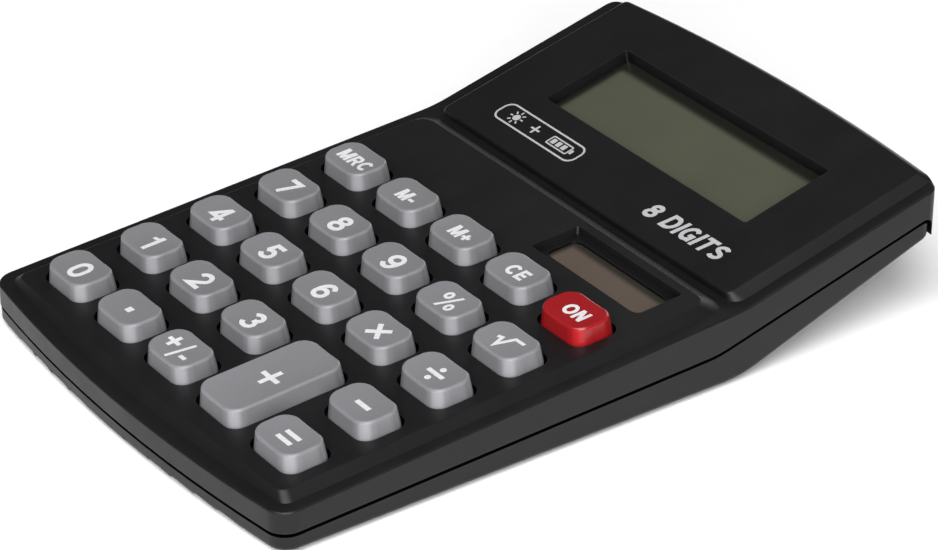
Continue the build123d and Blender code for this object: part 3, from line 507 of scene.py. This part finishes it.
def add_ribbon(shape, points, width, closed=False):
    """A stroke of even width along a run of points, with mitred corners."""
    spots = [Vector(p) for p in points]
    count = len(spots)
    sides = []
    for i in range(count):
        leads = closed or i > 0
        before = spots[i] - spots[i - 1] if leads else spots[1] - spots[0]
        follows = closed or i < count - 1
        after = spots[(i + 1) % count] - spots[i] if follows else spots[-1] - spots[-2]
        before.normalize()
        after.normalize()
        mitre = Vector((-before.y - after.y, before.x + after.x)).normalized()
        squareness = max(mitre.dot(Vector((-after.y, after.x))), MITRE_LIMIT)
        sides.append(mitre * (width / 2 / squareness))
    for i in range(count if closed else count - 1):
        j = (i + 1) % count
        near = (spots[i] + sides[i], spots[i] - sides[i])
        far = (spots[j] - sides[j], spots[j] + sides[j])
        add_polygon(shape, [tuple(corner) for corner in near + far])


def arc(centre, radius_x, radius_y, start, end, count=14):
    """Points along part of an ellipse, in degrees."""
    angles = [math.radians(start + (end - start) * i / count) for i in range(count + 1)]
    return [(centre[0] + radius_x * math.cos(a), centre[1] + radius_y * math.sin(a)) for a in angles]


def glyph(letter, t):
    """A bold grotesque figure or capital, one unit high: its width, strokes, rings and solid parts.

    t is the thickness of a stroke and a is half of it, so a stroke along an edge has its line at a.
    """
    a = t / 2
    top = 1.0 - a
    middle = 0.52
    mid_x = 0.36
    strokes, rings, solids, width = [], [], [], 0.72
    if letter == "0":
        bulge = 0.30
        path = arc((mid_x, top - bulge), mid_x - a, bulge, 0, 180)
        rings.append(path + arc((mid_x, a + bulge), mid_x - a, bulge, 180, 360))
    elif letter == "1":
        width = 0.50
        strokes.append([(0.50 - a, 0.0), (0.50 - a, 1.0)])
        solids.append([(0.50 - t, 1.0), (0.28, 0.84), (0.06, 0.80), (0.06, 0.665), (0.50 - t, 0.70)])
    elif letter == "2":
        path = arc((mid_x, top - 0.25), mid_x - a, 0.25, 172, -32)
        strokes.append(path + [(a * 1.25, a), (width, a)])
    elif letter == "3":
        upper = (top - middle) / 2
        lower = (middle - a) / 2
        strokes.append(arc((mid_x, middle + upper), 0.235, upper, 160, -90))
        strokes.append(arc((mid_x, a + lower), mid_x - a, lower, 90, -165))
    elif letter == "4":
        width = 0.76
        strokes.append([(0.50, 0.0), (0.50, 1.0)])
        strokes.append([(0.47, 0.96), (0.10, 0.31), (width, 0.31)])
    elif letter == "5":
        strokes.append([(0.65, top), (0.20, top), (0.13, 0.50)])
        strokes.append(arc((0.35, 0.335), 0.36 - a, 0.335 - a, 148, -158))
    elif letter in "69":
        ring = arc((mid_x, 0.335), mid_x - a, 0.335 - a, 0, 360)[:-1]
        hook = arc((0.40, 0.47), 0.40 - a, top - 0.47, 40, 196)
        if letter == "9":
            ring = [(width - x, 1.0 - y) for x, y in ring]
            hook = [(width - x, 1.0 - y) for x, y in hook]
        rings.append(ring)
        strokes.append(hook)
    elif letter == "7":
        strokes.append([(0.02, top), (0.60, top), (0.25, 0.0)])
    elif letter == "8":
        rings.append(arc((mid_x, 0.725), 0.225, top - 0.725, 0, 360)[:-1])
        rings.append(arc((mid_x, 0.31), mid_x - a, 0.31 - a, 0, 360)[:-1])
    elif letter == "M":
        width = 0.90
        strokes += [[(a, 0.0), (a, 1.0)], [(width - a, 0.0), (width - a, 1.0)]]
        solids.append([(0.0, 1.0), (1.3 * t, 1.0), (0.45 + 0.42 * t, 0.0), (0.45 - 0.42 * t, 0.0)])
        solids.append([(width - x, y) for x, y in solids[0]])
    elif letter == "N":
        width = 0.76
        strokes += [[(a, 0.0), (a, 1.0)], [(width - a, 0.0), (width - a, 1.0)]]
        solids.append([(0.0, 1.0), (1.15 * t, 1.0), (width, 0.0), (width - 1.15 * t, 0.0)])
    elif letter == "R":
        width = 0.76
        bowl = (top - 0.46) / 2
        strokes.append([(a, 0.0), (a, 1.0)])
        round_end = arc((0.44, 0.46 + bowl), 0.74 - a - 0.44, bowl, 90, -90)
        strokes.append([(a, top)] + round_end + [(a, 0.46)])
        solids.append([(0.30, 0.46), (0.53, 0.46), (0.78, 0.0), (0.53, 0.0)])
    elif letter in "CG":
        width = 0.80
        end = 318 if letter == "C" else 340
        strokes.append(arc((0.42, 0.5), 0.42 - a, 0.5 - a, 42, end, 22))
        if letter == "G":
            strokes.append([(0.44, 0.44), (width - a, 0.44), (width - a, 0.04)])
    elif letter == "E":
        width = 0.66
        strokes += [[(a, 0.0), (a, 1.0)], [(a, top), (0.65, top)]]
        strokes += [[(a, 0.5), (0.60, 0.5)], [(a, a), (width, a)]]
    elif letter == "O":
        width = 0.86
        rings.append(arc((0.43, 0.5), 0.43 - a, 0.5 - a, 0, 360, 26)[:-1])
    elif letter == "D":
        width = 0.78
        round_end = arc((0.36, 0.5), width - a - 0.36, 0.5 - a, -90, 90)
        rings.append([(a, a)] + round_end + [(a, top)])
    elif letter == "I":
        width = t
        strokes.append([(a, 0.0), (a, 1.0)])
    elif letter == "T":
        strokes += [[(0.0, top), (width, top)], [(mid_x, 0.0), (mid_x, top)]]
    elif letter == "S":
        path = arc((mid_x, 0.715), 0.25, top - 0.715, 28, 240)
        strokes.append(path + arc((mid_x, 0.30), mid_x - a, 0.30 - a, 62, -150))
    elif letter == "-":
        width = 0.42
        strokes.append([(0.0, 0.37), (width, 0.37)])
    elif letter == "+":
        width = 0.62
        strokes += [[(0.0, 0.42), (width, 0.42)], [(0.31, 0.11), (0.31, 0.73)]]
    elif letter == "%":
        width = 1.06
        rings.append(arc((0.22, 0.74), 0.22 - a, 0.26 - a, 0, 360)[:-1])
        rings.append(arc((width - 0.22, 0.26), 0.22 - a, 0.26 - a, 0, 360)[:-1])
        solids.append([(0.26, 0.0), (0.38, 0.0), (width - 0.26, 1.0), (width - 0.38, 1.0)])
    else:
        width = 0.34
    return width, strokes, rings, solids


def lettering(words, height, weight=0.19, lean=0.0):
    """Printed words in mm, centred on the origin.

    weight is the thickness of a stroke and lean the slant, both as shares of the height.
    """
    shape = bmesh.new()
    pen = 0.0
    for letter in words:
        width, strokes, rings, solids = glyph(letter, weight)
        line = weight * (0.62 if letter == "%" else 1.0)
        part = bmesh.new()
        for points in strokes:
            add_ribbon(part, points, line)
        for points in rings:
            add_ribbon(part, points, line, closed=True)
        for points in solids:
            add_polygon(part, points)
        for face in part.faces:
            add_polygon(shape, [(v.co.x + pen, v.co.y) for v in face.verts])
        part.free()
        pen += width + LETTER_GAP
    middle = (pen - LETTER_GAP) / 2
    for v in shape.verts:
        v.co = Vector((v.co.x - middle + lean * (v.co.y - 0.5), v.co.y - 0.5, 0.0)) * height
    return shape


def united(shape):
    """The union of a flat shape's overlapping faces, as triangles that don't overlap."""
    corners = [v.co.xy for v in shape.verts]
    shape.verts.index_update()
    faces = []
    for face in shape.faces:
        loop = [v.index for v in face.verts]
        area = sum(
            corners[a].x * corners[b].y - corners[b].x * corners[a].y
            for a, b in zip(loop, loop[1:] + loop[:1])
        )
        faces.append(loop if area > 0 else loop[::-1])
    shape.free()
    inside_only = 1
    tolerance = 1e-5
    result = delaunay_2d_cdt(corners, [], faces, inside_only, tolerance)
    points, _, triangles, _, _, sources = result
    whole = bmesh.new()
    spots = [whole.verts.new((p.x, p.y, 0.0)) for p in points]
    for triangle, source in zip(triangles, sources):
        if source:
            whole.faces.new([spots[i] for i in triangle])
    loose = [v for v in whole.verts if not v.link_faces]
    for v in loose:
        whole.verts.remove(v)
    return whole


def add_disc(shape, centre, radius):
    add_polygon(shape, arc(centre, radius, radius, 0, 360, 24)[:-1])


def rounded_points(half_x, half_y, radius, centre, count=8):
    """The outline of a rounded rectangle, with count steps round each corner."""
    points = []
    for sx, sy, start in ((1, 1, 0), (-1, 1, 90), (-1, -1, 180), (1, -1, 270)):
        corner = (centre[0] + sx * (half_x - radius), centre[1] + sy * (half_y - radius))
        points += arc(corner, radius, radius, start, start + 90.0, count)
    return points


def add_ring(shape, outer, inner):
    """A closed band between two outlines with as many points each."""
    outer_verts = [shape.verts.new((x, y, 0.0)) for x, y in outer]
    inner_verts = [shape.verts.new((x, y, 0.0)) for x, y in inner]
    for i in range(len(outer_verts)):
        j = (i + 1) % len(outer_verts)
        shape.faces.new((outer_verts[i], outer_verts[j], inner_verts[j], inner_verts[i]))


def add_frame(shape, half_x, half_y, radius, line, centre=(0.0, 0.0)):
    """A rounded rectangular band, line wide inwards from its outline."""
    inner_radius = max(radius - line, 0.05)
    outer = rounded_points(half_x, half_y, radius, centre)
    inner = rounded_points(half_x - line, half_y - line, inner_radius, centre)
    add_ring(shape, outer, inner)


def symbol(name):
    """Key symbols drawn from strokes and discs, in mm."""
    shape = bmesh.new()
    stroke = 0.72
    paired_stroke = 0.66
    if name == "plus":
        reach = 1.75
        add_bar(shape, (-reach, 0), (reach, 0), stroke)
        add_bar(shape, (0, -reach), (0, reach), stroke)
    elif name == "minus":
        add_bar(shape, (-1.4, 0), (1.4, 0), stroke)
    elif name == "times":
        reach = 1.25
        add_bar(shape, (-reach, -reach), (reach, reach), stroke)
        add_bar(shape, (-reach, reach), (reach, -reach), stroke)
    elif name == "divide":
        add_bar(shape, (-1.6, 0), (1.6, 0), paired_stroke)
        add_disc(shape, (0, 1.2), 0.45)
        add_disc(shape, (0, -1.2), 0.45)
    elif name == "equals":
        add_bar(shape, (-1.5, 0.7), (1.5, 0.7), paired_stroke)
        add_bar(shape, (-1.5, -0.7), (1.5, -0.7), paired_stroke)
    elif name == "point":
        add_bar(shape, (-0.5, 0), (0.5, 0), 1.0)
    elif name == "root":
        hook = [(-2.0, 0.1), (-1.3, 0.35), (-0.75, -1.3), (0.2, 1.35), (2.0, 1.35)]
        add_ribbon(shape, hook, 0.5)
    elif name == "sign":
        small_stroke = 0.6
        add_bar(shape, (-3.5, 0.55), (-1.2, 0.55), small_stroke)
        add_bar(shape, (-2.35, -0.6), (-2.35, 1.7), small_stroke)
        add_bar(shape, (-0.4, -2.15), (0.4, 2.15), 0.46)
        add_bar(shape, (0.95, -0.7), (2.25, -0.7), small_stroke)
    return shape


def printed(name, shape, place, body, paint):
    """A thin film of paint: a flat shape made thick and laid where place(x, y, lift) says."""
    shape = united(shape)
    bmesh.ops.recalc_face_normals(shape, faces=shape.faces)
    for face in shape.faces:
        if face.normal.z < 0:
            face.normal_flip()
    flat = list(shape.faces)
    raised = bmesh.ops.extrude_face_region(shape, geom=flat)
    tops = {v for v in raised["geom"] if isinstance(v, bmesh.types.BMVert)}
    for v in shape.verts:
        lift = PRINT_TOP if v in tops else PRINT_FOOT
        v.co = place(v.co.x, v.co.y, lift)
    bmesh.ops.recalc_face_normals(shape, faces=shape.faces)
    mesh = bpy.data.meshes.new(name)
    shape.to_mesh(mesh)
    shape.free()
    piece = bpy.data.objects.new(name, mesh)
    bpy.context.scene.collection.objects.link(piece)
    mesh.materials.append(paint.material)
    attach(piece, body)


def key_top(column, row):
    """Where a printed point lies on the dished top of the key in that column and row."""
    def place(x, y, lift):
        across = x + LEGEND_SHIFT[0]
        along = y + LEGEND_SHIFT[1]
        top = KEY_HEIGHT - DISH_DEPTH + across * across / (2 * DISH_RADIUS)
        key_x = column * COLUMN_PITCH
        key_y = -row * ROW_PITCH
        return on_plane(DECK, key_x + across, key_y + along, top + lift)
    return place


# Each key's column and row from the middle of the top row, and its legend; @ marks a drawn symbol.
KEYS = {
    "key_mrc": (-2, 0, "MRC"),
    "key_m_minus": (-1, 0, "M-"),
    "key_m_plus": (0, 0, "M+"),
    "key_ce": (1, 0, "CE"),
    "key_on": (2, 0, "ON"),
    "key_7": (-2, 1, "7"),
    "key_8": (-1, 1, "8"),
    "key_9": (0, 1, "9"),
    "key_percent": (1, 1, "%"),
    "key_root": (2, 1, "@root"),
    "key_4": (-2, 2, "4"),
    "key_5": (-1, 2, "5"),
    "key_6": (0, 2, "6"),
    "key_multiply": (1, 2, "@times"),
    "key_divide": (2, 2, "@divide"),
    "key_1": (-2, 3, "1"),
    "key_2": (-1, 3, "2"),
    "key_3": (0, 3, "3"),
    "key_plus": (1, 3.5, "@plus"),
    "key_minus": (2, 3, "@minus"),
    "key_0": (-2, 4, "0"),
    "key_point": (-1, 4, "@point"),
    "key_sign": (0, 4, "@sign"),
    "key_equals": (2, 4, "@equals"),
}

for key_name, (column, row, legend) in KEYS.items():
    if legend.startswith("@"):
        outline = symbol(legend[1:])
    elif len(legend) == 1:
        outline = lettering(legend, FIGURE_HEIGHT)
    else:
        outline = lettering(legend, WORD_HEIGHT, weight=WORD_WEIGHT)
    legend_name = "legend_" + key_name[4:]
    printed(legend_name, outline, key_top(column, row), key_name + "_body", white_print)


def display_panel(centre):
    """Where a printed point lies on the display panel, for a mark with this centre in mm."""
    def place(x, y, lift):
        return on_plane(DISPLAY, centre[0] + x, centre[1] + y, lift)
    return place


def power_badge():
    """A capsule outline with a sun and a battery: two sources of power."""
    shape = bmesh.new()
    add_frame(shape, 9.1, 1.95, 1.5, 0.3)

    fine_line = 0.24
    ray_start = 0.86
    ray_end = 1.38
    sun = Vector((-5.4, 0.0))
    add_disc(shape, sun, 0.62)
    for i in range(8):
        angle = i * math.pi / 4
        ray = Vector((math.cos(angle), math.sin(angle)))
        add_bar(shape, sun + ray_start * ray, sun + ray_end * ray, fine_line)

    plus_line = 0.34
    plus_x = -1.0
    plus_reach = 0.9
    add_bar(shape, (plus_x - plus_reach, 0.0), (plus_x + plus_reach, 0.0), plus_line)
    add_bar(shape, (plus_x, -plus_reach), (plus_x, -plus_line / 2), plus_line)
    add_bar(shape, (plus_x, plus_line / 2), (plus_x, plus_reach), plus_line)

    corner = 0.1
    add_frame(shape, 2.3, 0.95, 0.3, fine_line, centre=(4.7, 0.0))
    add_polygon(shape, rounded_points(0.25, 0.42, corner, centre=(7.32, 0.0), count=3))
    for cell_x in (3.35, 4.5, 5.65):
        add_polygon(shape, rounded_points(0.4, 0.5, corner, centre=(cell_x, 0.0), count=3))
    return shape


printed("mark_power", power_badge(), display_panel(POWER_MARK_CENTRE), "calculator", silver_print)
digits = lettering("8 DIGITS", DIGITS_MARK_HEIGHT, weight=DIGITS_MARK_WEIGHT, lean=DIGITS_MARK_LEAN)
printed("mark_digits", digits, display_panel(DIGITS_MARK_CENTRE), "calculator", silver_print)


# ---------------------------------------------------------------- floor, light and camera

def floor_material():
    """Plain pale paper, barely uneven in tone."""
    s = Shader("floor_pale")
    patchy = s.remap(s.noise(3.0, detail=2.0), 0.3, 0.7, 0.0, 1.0)
    s.set(Base_Color=s.mix(patchy, (0.92, 0.92, 0.92), (0.94, 0.94, 0.94)))
    s.bsdf.inputs["Roughness"].default_value = 0.85
    s.bsdf.inputs["Specular IOR Level"].default_value = 0.1
    return s


floor_mesh = bpy.data.meshes.new("floor")
floor_signs = ((-1, -1), (1, -1), (1, 1), (-1, 1))
floor_corners = [(FLOOR_REACH * x, FLOOR_REACH * y, 0) for x, y in floor_signs]
floor_mesh.from_pydata(floor_corners, [], [(0, 1, 2, 3)])
floor = bpy.data.objects.new("floor", floor_mesh)
floor_mesh.materials.append(floor_material().material)
bpy.context.scene.collection.objects.link(floor)


def softbox(name, place, target, size, power):
    """A square area light that faces a point."""
    light = bpy.data.lights.new(name, "AREA")
    light.shape = "SQUARE"
    light.size = size
    light.energy = power
    holder = bpy.data.objects.new(name, light)
    holder.location = place
    holder.rotation_euler = (Vector(target) - Vector(place)).to_track_quat("-Z", "Y").to_euler()
    bpy.context.scene.collection.objects.link(holder)


for light_name, place, target, size, power in SOFTBOXES:
    softbox(light_name, place, target, size, power)

world = bpy.data.worlds.new("studio")
world.use_nodes = True
world.node_tree.nodes["Background"].inputs["Color"].default_value = WORLD_TONE
bpy.context.scene.world = world

camera_data = bpy.data.cameras.new("camera")
camera_data.sensor_width = SENSOR_WIDTH
camera_data.lens = LENS
camera_data.clip_start = 0.01
camera_data.clip_end = 20.0
camera = bpy.data.objects.new("camera", camera_data)
camera.location = CAMERA_PLACE
view_direction = Vector(
    (
        -math.sin(VIEW_AZIMUTH) * math.cos(VIEW_ELEVATION),
        math.cos(VIEW_AZIMUTH) * math.cos(VIEW_ELEVATION),
        -math.sin(VIEW_ELEVATION),
    )
)
camera.rotation_euler = view_direction.to_track_quat("-Z", "Y").to_euler()
bpy.context.scene.collection.objects.link(camera)
bpy.context.scene.camera = camera
bpy.context.scene.view_settings.view_transform = "Standard"
